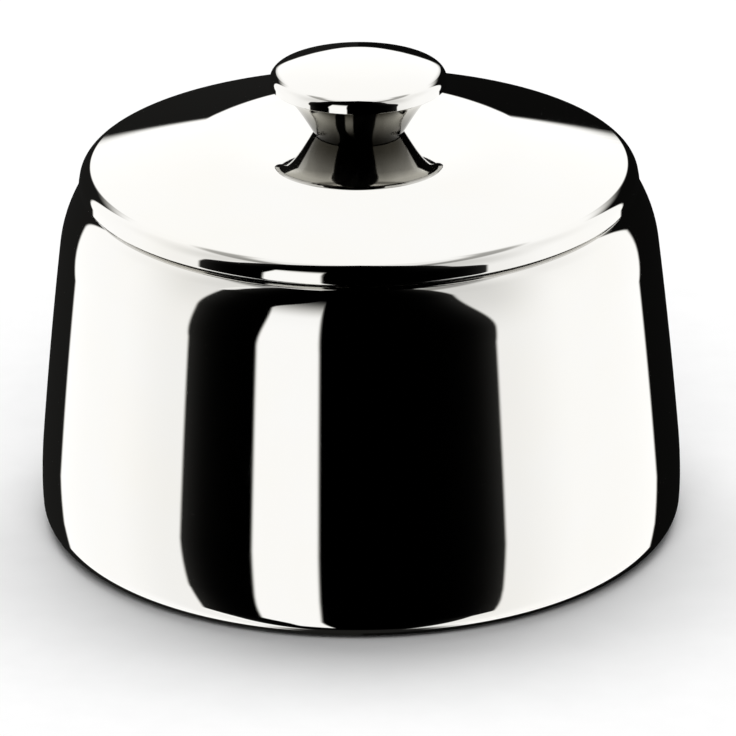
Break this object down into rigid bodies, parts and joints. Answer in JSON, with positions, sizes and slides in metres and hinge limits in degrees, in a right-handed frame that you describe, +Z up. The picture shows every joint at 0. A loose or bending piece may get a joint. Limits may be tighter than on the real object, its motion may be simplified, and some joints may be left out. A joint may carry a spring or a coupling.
{
  "type": "covered sugar bowl",
  "caption": "Round metal sugar bowl with a rounded shoulder, a lift-off lid that slopes away from its flat middle, and a trumpet-shaped knob with a crowned disc on top.",
  "frame": {"origin": "centre of the bowl's foot, on the surface it stands on", "axes": "+Z up along the bowl's and the lid's common axis; X and Y are free, because every visible piece is turned about Z"},
  "size_m": [0.1, 0.1, 0.0753],
  "materials": {
    "bowl_shell": "mirror-polished outside, satin inside",
    "base_disc": "satin, turned lines",
    "mouth_ring": "polished",
    "lid_cover": "mirror-polished outside, satin inside",
    "lid_locating_ring": "satin",
    "knob_stem": "mirror-polished",
    "knob_cap": "mirror-polished",
    "knob_stud": "plain, as turned",
    "knob_washer": "plain, stamped",
    "knob_nut": "plain, as turned"
  },
  "bodies": {
    "bowl": {"bowl_shell": "bowl_shell", "base_disc": "base_disc", "mouth_ring": "mouth_ring"},
    "lid_ring": {"lid_locating_ring": "lid_locating_ring"},
    "lid": {"lid_cover": "lid_cover", "knob_stem": "knob_stem", "knob_cap": "knob_cap", "knob_stud": "knob_stud", "knob_washer": "knob_washer", "knob_nut": "knob_nut"}
  },
  "joints": [
    {"name": "lid_lift", "type": "slide", "parent": "bowl", "child": "lid_ring", "axis": [0, 0, 1], "range_m": [0, 0.06]},
    {"name": "lid_turn", "type": "hinge", "parent": "lid_ring", "child": "lid", "pos_m": [0, 0, 0.0555], "axis": [0, 0, 1], "continuous": true}
  ]
}
